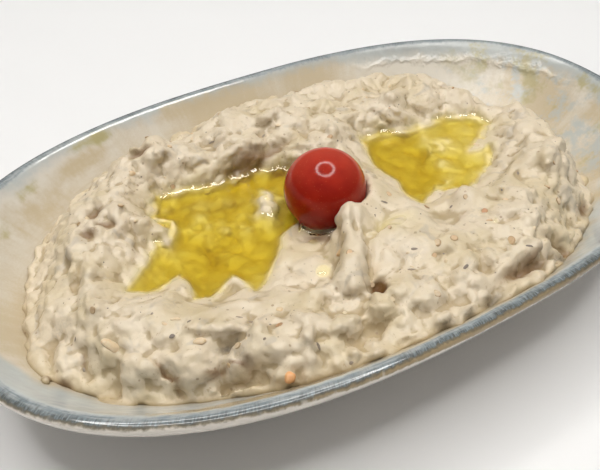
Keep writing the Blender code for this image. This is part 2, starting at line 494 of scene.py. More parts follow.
def dressDish(piece):
    material, nodes, shader = newMaterial("reactiveGlaze", Roughness=0.09, IOR=1.5)
    glaze = dish["glaze"]
    mix, step, noise, clouds = nodes.mix, nodes.step, nodes.noise, nodes.clouds
    place, onWall = nodes.place(), nodes.fact("glazePlace", "Vector")
    east, north, _ = nodes.parts(place)
    nearSide = step(north, 0.005, -0.04)
    farRight = step(east, 0.035, 0.065) * step(north, 0.0, 0.03)
    exact = nodes.parts(onWall)[2] * 1000
    along = exact + ((noise(place, 55, 2) - 0.5) * 1.8 + (noise(place, 700, 3) - 0.5) * 1.6)
    # fine lines that run along the rim, and others that run down the wall
    lines = noise(nodes.vector("MULTIPLY", onWall, (0.12, 0.12, 1.0)), 1500, 3)
    runs = noise(nodes.vector("MULTIPLY", onWall, (1.0, 1.0, 0.25)), 260, 3)
    across = nodes.vector("MULTIPLY", onWall, (1.0, 1.0, 0.22))
    # the inside: pale, blue-grey nearer the rim, with clouds of tan and olive, which on the near right also
    # paint shade onto the wall
    mottled = (noise(place, 90, 4, 0.65) - 0.5) * 9
    blueTo = nearSide * 22.0 + farRight * 3.0 + 2.5
    cloud = noise(place, 24, 2) + runs * 0.22 + noise(place, 1700, 3) * 0.12
    cloud = cloud + step(east, 0.06, 0.12, 0, 0.07)
    inside = mix(step(cloud, 0.62, 0.88, 0, 0.85), glaze["pale"], glaze["tan"])
    blue = mix(step(mottled, -1.0, 1.4), glaze["blue"], glaze["greyBlue"])
    blue = mix(nearSide * 0.85, blue, glaze["blueWhite"])
    inside = mix(step(along + mottled - blueTo, 4.0, -2.0, 0, 0.95), inside, blue)
    torn = noise(place, 220, 4, 0.65) + (runs - 0.5) * 0.8
    # tan and olive glaze, and on the near right painted shade on the wall under the dip
    for name, tone in (("tanClouds", "tan"), ("oliveClouds", "olive")):
        cloud = nodes.fact(name)
        there = step(cloud + torn * 0.6, 0.45, 1.0, 0, 0.95) * step(cloud, 0.02, 0.3)
        inside = mix(there, inside, glaze[tone])
    rightEnd = step(east, 0.07, 0.1)
    inside = mix(clouds(place, 95, 4, 0.46, 0.62, 0, 0.85, 0.7) * rightEnd, inside, glaze["blue"])
    inside = mix(clouds(place, 62, 4, 0.5, 0.66, 0, 0.75, 0.7) * rightEnd, inside, glaze["olive"])
    film = nodes.fact("greasy") * step(lines, 0.3, 0.7, 0.55, 1.0)
    inside = mix(film * 0.8, inside, glaze["tan"])
    # the crest: slate with fine lines, a dark edge, then a thin broken line of brown and the plain outside
    fine = step(lines, 0.35, 0.62) * step(east, -0.02, 0.06, 1.0, 0.6)
    slate = mix(fine, glaze["slate"], glaze["greyBlue"])
    streaks = noise(across, 1900, 4, 0.65) + (noise(place, 140, 2) - 0.5) * 0.5
    slate = mix(step(streaks, 0.44, 0.74, 0, 0.42), slate, glaze["dark"])
    colour = mix(step(along, 2.6, 0.8), inside, slate)
    edge = mix(step(streaks, 0.3, 0.66), glaze["slate"], glaze["dark"])
    colour = mix(step(along, 0.7, -0.5, 0, 0.9), colour, edge)
    stain = noise(across, 300, 3, 0.6) - step(east, -0.06, 0.02, 0, 0.14)
    brown = mix(step(stain, 0.5, 0.66, 0, 0.6), glaze["brown"], glaze["outside"])
    brown = mix(step(east, -0.03, -0.08, 0, 0.35), brown, glaze["slate"])
    brown = mix(step(east, 0.0, 0.04, 0, 0.3), brown, glaze["dark"])
    brown = mix(step(along, -2.0, -1.1, 0, 0.7), brown, glaze["dark"])
    colour = mix(step(along, -0.7, -1.2), colour, brown)
    brownTo = along + step(east, -0.08, 0.02, 0.1, 1.9)
    colour = mix(step(brownTo, -1.4, -2.3), colour, glaze["outside"])
    nodes.feed(shader.inputs["Base Color"], colour)
    # thick glaze ends in a wobbly bead on the far right, and is uneven all over
    line = exact + (noise(place, 130, 3, 0.6) - 0.5) * 10 - 8.0
    bead = nodes.fading(line * line * -0.5)
    height = bead * farRight * 0.8 + noise(place, 150, 2) * step(exact, 0.5, 4.0, 0.08, 0.5)
    nodes.feed(shader.inputs["Normal"], nodes.bump(height, 0.001, 0.5))
    nodes.feed(shader.inputs["Roughness"], step(farRight, 0.2, 0.9, 0.09, 0.27))
    wear(piece, material)


dip = {
    "voxels": (1.0, 0.75, 0.5),  # for the bare heap, for the heap with its lumps and for the relief
    "hollows": ((40, 0.25, 0.8), (60, 0.6, 0.5)),  # rounds of averaging, depth that stays, share filled
    "faces": 190000,
    "shownDown": 20,  # how far under the rim the dip is still lumpy
    "seed": 5,
    "lumps": 330,
    "lumpRadius": (1.5, 4.2),
    "lumpLength": (1.0, 1.9),  # this and the next as shares of the radius
    "lumpWidth": (0.8, 1.1),
    "lumpLean": 0.35,  # how much the lumps tilt at random, in radians
    "awayFromOil": (1, 6),  # where lumps start to come beside the oil, and where they come freely
    "atEdge": (2.6, 7),  # how far over the wall the dip's edge counts, and how much likelier lumps are there
    # cells of relief: their size, how far they bulge, the depth of the creases between, and their warping
    "broad": [{"size": 9, "height": 2.1, "crease": 0.85, "warp": 7, "warpSize": 12, "flat": True},
              {"size": 5, "height": 0.9, "crease": 0.6, "warp": 4, "warpSize": 7, "flat": True}],
    "narrow": [{"size": 2.9, "height": 0.36, "crease": 0.18, "warp": 2.5, "warpSize": 4, "flat": False},
               {"size": 1.5, "height": 0.1, "crease": 0.06, "warp": 1, "warpSize": 2, "flat": False}],
    "ridge": (0.62, 0.8),  # where the dip is highest, as a share of its half size
    "creaseWidth": 0.1,  # as a share of the cell
    "edgeLumps": 100,
    "edgeRadius": (1.5, 3.0),
    "edgeLean": 0.25,
    "edgeTurn": 0.35,  # how far they turn from the line of the edge
    # lobes with a place of their own: x, y, half sizes along, across and up, turn in plan, and how far sunk
    "lobes": [
        (-102.3, -14, 7.5, 3.2, 3.8, 84, 0.25), (-96.5, -18, 6.5, 3.5, 3.8, 62, 0.3),
        (-103, -21.2, 2.2, 1.4, 1.6, 80, -0.3), (-87, -24, 6, 3.2, 3.6, 60, 0.2),
        (-82, -33, 6.4, 4.8, 4.8, -20, 0.05), (-71, -39, 7, 5.6, 5.2, -30, 0.0),
        (-89.5, -34.6, 5.6, 2.8, 2.8, -40, 0.3), (-79, -41, 6, 2.8, 2.8, -30, 0.35),
        (-76.5, -36, 1.4, 1.2, 1.2, 0, -0.3), (-61.5, -46, 6.4, 3, 3, -30, 0.2),
        (-55, -46, 6.4, 4.2, 4.4, 60, 0.0), (-52, -52, 6.4, 4.6, 4.2, 60, 0.05),
        (-45.5, -54, 5.6, 3.4, 3.8, 62, 0.1), (-61, -51, 7.4, 2.6, 2.4, -32, 0.35),
        (-95, 1, 6, 5, 3, 20, 0.4), (-33, -52, 8.4, 4, 3.8, 2, 0.2), (-22.5, -53.5, 4, 3, 3.4, -30, 0.05),
        (-36, -41, 3.2, 2, 2, -25, 0.2), (1.5, -57.5, 6.4, 5.6, 5, 58, 0.25), (-8, -54, 5, 3.4, 3, 60, 0.3),
        (-9, -58.5, 2.6, 1.7, 1.6, -30, 0.1), (21, -57, 9, 3.4, 2.2, 8, -0.5),
        (41, -53.5, 6.4, 2.8, 1.8, -38, -0.4), (18, -64.5, 7, 2.4, 2, 0, 0.3),
        (78, -36, 4, 3.2, 3.2, 30, 0.2), (87, -26, 4, 3.2, 3.2, 60, 0.2), (43, -39, 3.2, 2.2, 2.2, 10, 0.2),
        (33, -32, 3.2, 1.9, 2, -30, 0.3), (60, -30, 6, 3.4, 2.6, 40, 0.4), (66, -17, 5, 3, 2.4, 20, 0.4),
        (-45, 37, 5, 3.4, 3, 25, 0.3), (-58, 34, 5, 3, 2.6, 50, 0.3), (-24, 36, 6, 3, 2.8, 15, 0.3),
        (-3, 38, 6, 3.4, 2.8, 0, 0.3), (18, 40, 5, 3, 2.6, -20, 0.3), (-66, 22, 4.5, 3, 2.6, 80, 0.3),
        (-75, 8, 4.5, 3.2, 2.6, 70, 0.3), (-84, -8, 5, 3.5, 2.4, 60, 0.4)],
    # the fold that leans on the tomato: a blunt tip, a body that widens to a round end, strands beside it
    "fold": [
        (-4.6, -16.2, 4.6, 3.2, 3.2, -32, -0.3), (-11.6, -18.9, 3, 2.4, 2.4, -60, 0.1),
        (-9.6, -20.8, 4.6, 4, 3.2, 58, 0), (-13.4, -26.2, 4.6, 3.6, 3, 58, 0.2),
        (-17.4, -31.6, 5, 4.2, 3.4, 58, 0.2), (-21.2, -37, 4.6, 4.8, 3.6, 58, 0.15),
        (-24, -41, 4.4, 5, 3.8, 0, 0.1), (-15.2, -21.2, 6, 2, 2, 66, 0.3),
        (-19, -27.5, 3.6, 1.8, 1.8, 50, 0.4), (-7, -24.5, 5, 1.9, 2.2, 62, 0.1),
        (-10.6, -31.5, 5, 2.4, 2.2, 62, 0.3), (-8, -36, 7, 5, 2.4, 58, 0.6),
        (-20.6, -50.4, 4.2, 2.4, 2.4, -15, 0.1), (-17.5, -48, 3, 2.6, 2.4, 20, 0.1),
        (-33, -39.5, 5, 2.2, 2, -25, 0.3)],
    # creases and hollows: x, y, half length and width, turn, depth
    "dents": [
        (-16, 26.5, 12, 1.7, 2, 3.2), (-49.5, 40.5, 3.4, 1.4, 0, 2.4), (-71, 24.7, 2.6, 2.2, 0, 2.4),
        (-70.6, 17, 3, 1.5, -30, 2.4), (-76.4, 16, 2.4, 1.5, -30, 2), (20, -61, 9, 1.8, 4, 3.6),
        (38, -57.5, 5, 1.6, -35, 3), (9.5, -56, 4.5, 1.5, 58, 2.6), (-76.6, -38.6, 4.4, 0.85, -66, 5),
        (-61.5, -49, 6.5, 1.05, -34, 4.6), (-64.5, -45, 3, 1, 60, 4), (-98.8, -14, 5, 1.4, 74, 2),
        (-87, -30.5, 5, 1.4, 62, 2.2), (-92.3, -22, 5, 1.4, 70, 2.2), (-15.2, -12.4, 6, 3.2, -32, 1.7),
        (-103, -1, 4, 1.2, 80, 2.6), (-101, 9, 4, 1.2, 95, 2.4), (-29, -56, 9, 1.8, 4, 2.6),
        (-23.5, -33.5, 5, 1.3, 58, 2.6), (-11.2, -24.6, 5, 0.9, 60, 2.2), (-16.4, -39.5, 7.5, 0.9, 60, 2.6),
        (-17.9, -45.9, 2.4, 1.8, 60, 6), (37.5, -33, 2.8, 1.2, 40, 1.0), (49, -28, 3.4, 1.2, 60, 1.2),
        (66, -43, 6, 1.6, 30, 2.4), (-60.4, -41, 3.4, 1.4, -10, 4.6), (-8, 34, 4, 1.3, -10, 1.8),
        (-26, 40, 4, 1.2, -20, 1.6), (22, 32, 5, 1.2, -15, 2), (2, 45, 5, 1.2, 0, 1.8),
        (-85, 3, 5, 1.3, 60, 2), (10, -50, 4, 1.3, -30, 1.2), (28, -46, 4, 1.2, -10, 1.2),
        (3.5, -65.4, 4, 1.4, 8, 3.2), (35.5, -61.6, 4, 1.4, -20, 2.8), (-13, -66.3, 3.6, 1.2, 5, 2.4)],
    # where the dip was smeared flat: x, y, half length and width, turn, the lumpiness that is left
    "calm": [
        (-52, -29, 22, 7, -18, 0.25), (24, -31, 34, 12, 12, 0.38), (-25, -22, 9, 12, 20, 0.35),
        (-14, -30, 8, 16, -30, 0.45), (8, -20, 14, 10, 0, 0.3), (-70, -40, 34, 10, -32, 0.75),
        (-97, -12, 9, 16, 20, 0.8), (75, 0, 18, 30, 0, 0.7)],
    "lively": [(-62, -44, 36, 10, -20, 1), (-10, -56, 50, 8, 3, 1), (-95, -8, 14, 26, 0, 1)],
    "quietByOil": (0.35, 0.8, 5),  # lumpiness in the oil, and where it starts and ends to grow beside it
    "pressed": (0.35, 1.1),  # how far the dip goes into the dish's wall, and from how near
    "calmByWall": (0.2, 1.2),
    "hollowRounds": {"crevice": 12, "valley": 80},  # rounds of averaging behind the painted shade of the hollows
    "paste": {
        "light": (0.645, 0.55, 0.41, 1),
        "tan": (0.56, 0.46, 0.29, 1),
        "grey": (0.40, 0.35, 0.285, 1),
        # crease: painted shade, for creases, hollows, deep dents and where the dip meets the dish
        "crease": (0.30, 0.215, 0.10, 1),
        "strand": (0.33, 0.22, 0.11, 1),
        "dot": (0.2, 0.11, 0.045, 1),
        # brown and burnt: real stains, oil and char, also painted shade in creases, hollows and pits
        "brown": (0.15, 0.068, 0.018, 1),
        "burnt": (0.11, 0.085, 0.052, 1),
        # oiled: the wet paste's colour, darker still as painted shade under the oil
        "oiled": (0.40, 0.34, 0.17, 1),
        "smeared": (0.66, 0.56, 0.27, 1)},
    # patches of another colour; the browns and the charred also paint shade into creases, hollows and pits:
    # x, y, half length and width, turn, strength
    "greys": [
        (-61, -44.5, 4.5, 3, -20, 0.5), (23, -38, 3, 5, 58, 0.5), (-25.3, 40, 5, 2.5, 0, 0.5),
        (-8.5, 34, 4, 2, 0, 0.5), (37.4, -33, 4, 2, 40, 0.5), (-95.5, -10, 5, 3, 30, 0.5),
        (-24.5, -36, 3, 1.5, 60, 0.5), (4, -54.5, 4, 2, 30, 0.5), (-4, -42, 4, 2.5, 0, 0.5),
        (-40, 24, 6, 3, 10, 0.5), (-66, -20, 5, 3, 0, 0.5), (-34, -47, 6, 2.5, 0, 0.5)],
    "browns": [
        (-40, 19, 9, 2.6, -18, 0.3), (-32.5, 15.5, 7, 2.2, -10, 0.45), (-54, -13, 3, 2.4, 30, 0.2),
        (-57, 5, 3, 2.4, 40, 0.3), (-66, -2, 4, 2, 30, 0.2), (-49, 22, 3, 1.6, 0, 0.4),
        (36, 14, 7, 2, 0, 0.3), (28, 5, 5, 3, 60, 0.15), (-17.3, -15.2, 3.8, 2.1, -32, 0.8),
        (-17.4, -45.4, 2.2, 1.7, 60, 2.5), (38, -57.5, 5, 1.6, -35, 0.8), (20, -61, 9, 1.6, 4, 0.8),
        (-9.5, 21, 3, 1.6, -20, 0.8), (-16, 26.5, 13, 1.8, 2, 0.8), (-49.5, 40.5, 3.6, 1.6, 0, 0.8),
        (-71, 24.7, 2.6, 2, 0, 0.8), (-70.6, 17, 3, 1.4, -30, 0.8), (-76.4, 16, 2.4, 1.4, -30, 0.8),
        (66, -43, 5, 1.6, 30, 0.8), (-76.6, -38.6, 3.6, 0.5, -66, 0.9), (-66.4, -44.3, 2.9, 0.55, -5, 0.8),
        (-61.3, -46.7, 3.4, 0.55, -41, 0.9), (-100, -22.6, 3.4, 0.8, -35, 0.8),
        (-92.4, -20.6, 2.6, 0.5, 70, 0.6)],
    "charred": [
        (-60.9, -40.9, 3, 1.4, -8, 1.0), (-58.2, -40.8, 1.4, 0.9, 30, 0.8), (4.9, -65.1, 3.6, 1.5, 8, 0.9),
        (35, -61.1, 3.6, 1.5, -20, 0.9), (56, -50.8, 3, 1.8, -45, 0.8), (-11.8, -65.8, 3, 1.3, 5, 0.85),
        (-4.8, -66.3, 2.4, 1.2, 5, 0.75), (-45, -55, 4, 0.6, -40, 0.4)],
    "smears": [(-1, -28.5, 7, 3.5, 0, 0.9), (-21.3, 8.6, 5, 5, 0, 0.9)],
    "blunt": {"greys": 1.6, "browns": 3, "charred": 2},  # how sharply the patches end
}


def calmness(place):  # 1 where the dip is lumpy, less where it was smeared flat
    return 1 - patchwork(place, [(*patch, 1 - left) for *patch, left in dip["calm"]], 4)


def treeOfPlaces(places):  # for finding how far off the nearest of some places is, seen from above
    tree = KDTree(len(places))
    for i, spot in enumerate(places):
        tree.insert((spot[0], spot[1], 0), i)
    tree.balance()
    return tree


def distances(tree, place):
    return np.array([tree.find((x, y, 0))[2] for x, y in place[:, :2]])


def markLumpiness(piece, pools, wall):  # smoother where it was smeared, in the oil, and against the dish
    place = points(piece)
    quiet, start, end = dip["quietByOil"]
    beside = smoothStep(start * mm, end * mm, distances(pools, place))
    start, end = dip["calmByWall"]
    off = smoothStep(start * mm, end * mm, gaps(wall, place, end * mm))
    giveAttribute(piece, "lumpiness", off * calmness(place) * (quiet + (1 - quiet) * beside))


# pushes a piece's points out by layers of rounded lobes with creases between, as its lumpiness says
def carve(piece, name, layers):
    tree = bpy.data.node_groups.new(name, "GeometryNodeTree")
    for side in ("INPUT", "OUTPUT"):
        tree.interface.new_socket("Geometry", in_out=side, socket_type="NodeSocketGeometry")
    nodes = Nodes(tree)
    place = nodes.out(tree.nodes.new("GeometryNodeInputPosition"))
    lumpy = tree.nodes.new("GeometryNodeInputNamedAttribute")
    lumpy.inputs["Name"].default_value = "lumpiness"
    # plan coordinates, drawn out where the dip falls away, so that the cells keep their size there
    plan = nodes.vector("MULTIPLY", place, (1, 1, 0))
    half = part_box("dip")[1]
    share = nodes.length(nodes.vector("MULTIPLY", plan, (1 / half.x, 1 / half.y, 0)))
    drop = (rim - nodes.parts(place)[2]) * nodes.step(share, *dip["ridge"], -1.0, 1.0)
    plan = nodes.vector("SCALE", plan, Scale=drop / nodes.length(plan) + 1.0)
    total = 0.0
    for layer in layers:
        swirl = {"Vector": place, "Scale": 1 / (layer["warpSize"] * mm), "Detail": 1.0}
        shift = nodes.vector("SUBTRACT", nodes.out(nodes.add("TexNoise", swirl), "Color"), (0.5, 0.5, 0.5))
        shift = nodes.vector("SCALE", shift, Scale=layer["warp"] * mm)
        cells = {"Vector": nodes.vector("ADD", plan if layer["flat"] else place, shift),
                 "Scale": 1 / (layer["size"] * mm)}
        kind = {"voronoi_dimensions": "2D" if layer["flat"] else "3D"}
        away = nodes.out(nodes.add("TexVoronoi", {**cells, "Smoothness": 0.25}, feature="SMOOTH_F1", **kind))
        border = nodes.out(nodes.add("TexVoronoi", cells, feature="DISTANCE_TO_EDGE", **kind))
        total = (0.25 - away * away) * (layer["height"] * mm) + total
        total = total - nodes.fading(border * (-1 / dip["creaseWidth"])) * (layer["crease"] * mm)
    total = total * nodes.out(lumpy, "Attribute")
    normal = nodes.out(tree.nodes.new("GeometryNodeInputNormal"))
    push = tree.nodes.new("GeometryNodeSetPosition")
    nodes.feed(push.inputs["Offset"], nodes.vector("SCALE", normal, Scale=total))
    tree.links.new(tree.nodes.new("NodeGroupInput").outputs[0], push.inputs["Geometry"])
    tree.links.new(push.outputs[0], tree.nodes.new("NodeGroupOutput").inputs[0])
    modify(piece, "NODES", node_group=tree)


def faceFacts(piece):
    mesh = piece.data
    count = len(mesh.polygons)
    middle, normal, area = np.empty(count * 3), np.empty(count * 3), np.empty(count)
    mesh.polygons.foreach_get("center", middle)
    mesh.polygons.foreach_get("normal", normal)
    mesh.polygons.foreach_get("area", area)
    return middle.reshape(-1, 3), normal.reshape(-1, 3), area


# random spots on a piece's faces, where chance is the share of each face's area that counts
def pickSpots(piece, count, chance, rng):
    middle, normal, area = faceFacts(piece)
    weight = area * chance(middle, normal)
    chosen = rng.choice(len(area), count, p=weight / weight.sum(), replace=False)
    return middle[chosen], normal[chosen]


def standing(place, normal, size, spin, tilt=(0, 0)):  # stands a shape on a spot, turned about the normal
    turn = Vector(normal).to_track_quat("Z", "Y").to_matrix().to_4x4()
    return (Matrix.Translation(place) @ turn @ Euler((tilt[0], tilt[1], spin)).to_matrix().to_4x4()
            @ Matrix.Diagonal((*size, 1)))


def lying(place, normal, size, turn):  # lays a shape on a spot, its length turned in plan
    along = Vector((math.cos(math.radians(turn)), math.sin(math.radians(turn)), 0))
    along = (along - normal * along.dot(normal)).normalized()
    axes = Matrix((along, normal.cross(along), normal)).transposed().to_4x4()
    return Matrix.Translation(place) @ axes @ Matrix.Diagonal((*(part * mm for part in size), 1))


def edgePlaces(ground, wall, rng):  # places for lumps that hang over the line where the dip meets the dish
    places = []
    count, lean = dip["edgeLumps"], dip["edgeLean"]
    for k in range(count):
        angle = math.tau * (k + rng.uniform(-0.4, 0.4)) / count
        radius = rng.uniform(*dip["edgeRadius"])
        for inset in np.arange(2, 40, 0.5):
            x, y = (part * mm for part in ovalPoint(math.cos(angle), math.sin(angle), inset))
            top, floor = heightBelow(ground, x, y), heightBelow(wall, x, y)
            if top is not None and top > floor + 0.2 * mm:
                break
        inward = 1 - radius * 0.8 * mm / math.hypot(x, y)
        place = Vector((x * inward, y * inward, top + radius * 0.3 * mm))
        spin = math.atan2(-x * dish["half"][1] ** 2, y * dish["half"][0] ** 2)
        spin += rng.normal(0, dip["edgeTurn"])
        size = Vector((rng.uniform(1.1, 1.9), rng.uniform(0.8, 1.1), rng.uniform(0.7, 1.0))) * radius * mm
        places.append(standing(place, upward, size, spin, (rng.normal(0, lean), rng.normal(0, lean))))
    return places


def addLumps(piece, pools, wall):
    rng = np.random.default_rng(dip["seed"])
    bpy.ops.mesh.primitive_ico_sphere_add(subdivisions=3, radius=1)
    lump = newest("lump")

    def chance(middle, normal):
        reach, likelier = dip["atEdge"]
        edge = 1 + (likelier - 1) * (gaps(wall, middle, reach * mm) < reach * mm * 0.99)
        beside = smoothStep(*(part * mm for part in dip["awayFromOil"]), distances(pools, middle))
        amount = calmness(middle) * beside * edge
        return np.where((normal[:, 2] > 0.1) & (middle[:, 2] > rim - dip["shownDown"] * mm), amount, 0)

    spots, normals = pickSpots(piece, dip["lumps"], chance, rng)
    small, large = dip["lumpRadius"]
    lean = dip["lumpLean"]
    places = []
    for spot, normal, lively in zip(spots, normals, patchwork(spots, dip["lively"], 2)):
        radius = small + (large * (0.6 + 0.4 * lively) - small) * rng.beta(1.6, 2.4)
        size = Vector((radius * rng.uniform(*dip["lumpLength"]), radius * rng.uniform(*dip["lumpWidth"]),
                       radius)) * mm
        sunk = radius * (0.75 - 0.25 * lively * rng.random() - 0.1 * rng.random()) * mm
        place = Vector(spot) - Vector(normal) * sunk
        places.append(standing(place, normal, size, rng.uniform(0, math.tau),
                               (rng.normal(0, lean), rng.normal(0, lean))))
    ground = treeOf(piece)
    for x, y, length, width, height, turn, sunk in dip["lobes"] + dip["fold"]:
        spot, normal = below([ground, wall], x * mm, y * mm)
        places.append(lying(spot - normal * (sunk * height * mm), normal, (length, width, height), turn))
    lumps = copyTo(lump, places + edgePlaces(ground, wall, rng))
    bpy.data.objects.remove(lump)
    return join([piece] + lumps, "baba_ganoush")


def insideBy(place, outline):  # how far each place lies inside an outline, in mm, less than 0 outside it
    x, y = place[:, 0] / mm, place[:, 1] / mm
    away, inside = np.full(len(x), 1e9), np.zeros(len(x), bool)
    for (ax, ay), (bx, by) in zip(outline, outline[1:] + outline[:1]):
        t = np.clip(((x - ax) * (bx - ax) + (y - ay) * (by - ay)) / ((bx - ax) ** 2 + (by - ay) ** 2), 0, 1)
        away = np.minimum(away, np.hypot(x - ax - t * (bx - ax), y - ay - t * (by - ay)))
        crosses = (ay > y) != (by > y)
        crosses[crosses] = x[crosses] < (bx - ax) * (y[crosses] - ay) / (by - ay) + ax
        inside ^= crosses
    return np.where(inside, away, -away)


def nearSide(place, shore):  # 1 on the side of a pool from which it can be looked into, 0 on the other side
    turn = math.radians(oil["beach"]["turn"])
    away = (place[:, :2] / mm - np.mean(shore, axis=0)) @ np.array((math.cos(turn), math.sin(turn)))
    return smoothStep(*oil["sides"], away)


def shapeBeds(piece):  # lays the dip out under the oil, and lets it rise from the oil's edge
    place = points(piece)
    wander = oil["ragged"] * mm
    east = place[:, 0] + wander * np.sin(place[:, 1] / (1.1 * mm)) * np.sin(place[:, 0] / (1.9 * mm))
    north = place[:, 1] + wander * np.sin(place[:, 0] / (1.2 * mm) + 2) * np.sin(place[:, 1] / (2.1 * mm))
    wavy = np.stack([east, north], 1)
    beach = oil["beach"]
    for values in (oil["oil_left"], oil["oil_right"]):
        level = values["level"] + rim / mm
        depth = np.full(len(place), float(oil["depth"]))
        for *patch, shallow in values["shallows"]:
            depth += (shallow - depth) * np.minimum(1, 1.3 * blob(wavy, *patch))
        within = insideBy(place, values["shore"])
        bed = np.where(within > 0, level - depth * (1 - np.exp(-np.maximum(within, 0) / oil["bank"][0])),
                       level - oil["bank"][1] * within)
        share = smoothStep(*oil["laidOut"], within) * (place[:, 2] / mm > level - 7)
        place[:, 2] += (bed * mm - place[:, 2]) * share
        over = place[:, 2] / mm - (level + beach["rise"] * -within)
        share = nearSide(place, values["shore"]) * (1 - smoothStep(beach["steady"], beach["end"], -within))
        place[:, 2] -= np.maximum(over, 0) * share * (within < 0) * mm
    movePoints(piece, place)


def addDents(piece):
    place = points(piece)
    for *patch, depth in dip["dents"]:
        place[:, 2] -= depth * mm * blob(place, *patch) * (place[:, 2] > rim - dip["shownDown"] * mm)
    movePoints(piece, place)


def pressInto(piece, wall):  # moves the points near the dish's wall just into it, so that no gap shows
    depth, reach = dip["pressed"]
    place = points(piece)
    for i, spot in enumerate(place):
        near, _, _, away = wall.find_nearest(Vector(spot), reach * mm)
        if near is not None and away > 0:
            share = 1 - smoothStep(0.8, reach, away / mm)
            place[i] = spot + (np.array(near) - spot) * (1 + depth * mm / away) * share
    movePoints(piece, place)


def hollowness(piece, rounds):  # how far each point lies under the average of its surroundings, in mm
    place, normal = points(piece), points(piece, "normal")
    edges = np.empty(len(piece.data.edges) * 2, int)
    piece.data.edges.foreach_get("vertices", edges)
    a, b = edges[::2], edges[1::2]
    count = np.bincount(a, minlength=len(place)) + np.bincount(b, minlength=len(place))
    soft = place.copy()
    for _ in range(rounds):
        total = np.stack([np.bincount(a, soft[b, k], len(place)) + np.bincount(b, soft[a, k], len(place))
                          for k in range(3)], 1)
        soft = total / np.maximum(count, 1)[:, None]
    return ((soft - place) * normal).sum(1) / mm


def fillHollows(piece, rounds, least, share):  # lifts what lies more than the least depth in a hollow
    lift = np.maximum(hollowness(piece, rounds) - least, 0) * share * mm
    movePoints(piece, points(piece) + points(piece, "normal") * lift[:, None])


def dropLoose(piece):  # keeps only what hangs together with the piece's highest point
    top = int(np.argmax(points(piece)[:, 2]))
    selectFaces(piece, lambda polygon: top in polygon.vertices)
    bpy.ops.mesh.select_linked()
    bpy.ops.mesh.select_all(action="INVERT")
    bpy.ops.mesh.delete(type="VERT")
    leaveEdit()


def makeDip(wall):
    pools = [points(frame["nodes"][name]) for name in ("oil_left", "oil_right")]
    pools = treeOfPlaces(np.concatenate(pools))
    coarse, middling, fine = (size * mm for size in dip["voxels"])
    piece = copyOfNode("dip", "baba_ganoush")
    modify(piece, "REMESH", mode="VOXEL", voxel_size=coarse)
    modify(piece, "SMOOTH", factor=0.5, iterations=8)
    pressInto(piece, wall)
    piece = addLumps(piece, pools, wall)
    modify(piece, "REMESH", mode="VOXEL", voxel_size=middling)
    modify(piece, "SMOOTH", factor=0.5, iterations=3)
    fillHollows(piece, *dip["hollows"][0])
    addDents(piece)
    shapeBeds(piece)
    markLumpiness(piece, pools, wall)
    carve(piece, "broadLobes", dip["broad"])
    modify(piece, "REMESH", mode="VOXEL", voxel_size=fine)
    modify(piece, "SMOOTH", factor=0.5, iterations=3)
    fillHollows(piece, *dip["hollows"][1])
    dropLoose(piece)
    markLumpiness(piece, pools, wall)
    carve(piece, "narrowLobes", dip["narrow"])
    triangles = sum(len(polygon.vertices) - 2 for polygon in piece.data.polygons)
    modify(piece, "DECIMATE", ratio=min(1, dip["faces"] / triangles))
    shadeSmooth(piece)
    for name, rounds in dip["hollowRounds"].items():
        giveAttribute(piece, name, hollowness(piece, rounds))
    return piece


def markOiled(piece, wet, wall):  # how near each point is to the oil, to where oil has run and to the dish; the marks carry the paste's stains and its painted shade
    place = points(piece)
    away = distances(treeOfPlaces(wet), place) / mm
    level = np.where(place[:, 0] > 5 * mm, oil["oil_right"]["level"], oil["oil_left"]["level"])
    under = level - (place[:, 2] - rim) / mm
    oiled = np.exp(-((away / 0.7) ** 2)) * (0.6 + 0.4 * smoothStep(0.1, 1.1, under))
    for x, y, radius, _ in drops["placed"]:
        off = np.hypot(place[:, 0] / mm - x, place[:, 1] / mm - y) / radius
        oiled = np.maximum(oiled, 0.95 * np.exp(-off ** 4))
    toWall = gaps(wall, place, 6 * mm) / mm
    # painted shade in the deeper dents
    dents = [(x, y, length, width * 0.7, turn, smoothStep(2.2, 4.2, depth))
             for x, y, length, width, turn, depth in dip["dents"]]
    marks = {"oiled": oiled, "dented": patchwork(place, dents, 2),
             "smeared": np.maximum(0.6 * np.exp(-((away / 1.8) ** 2)), patchwork(place, dip["smears"], 2)),
             "skirt": np.exp(-((toWall / 3.4) ** 2)), "contact": np.exp(-((toWall / 0.9) ** 2))}
    for name, power in dip["blunt"].items():
        marks[name] = np.minimum(patchwork(place, dip[name], power), 1)
    for name, amount in marks.items():
        giveAttribute(piece, name, amount)


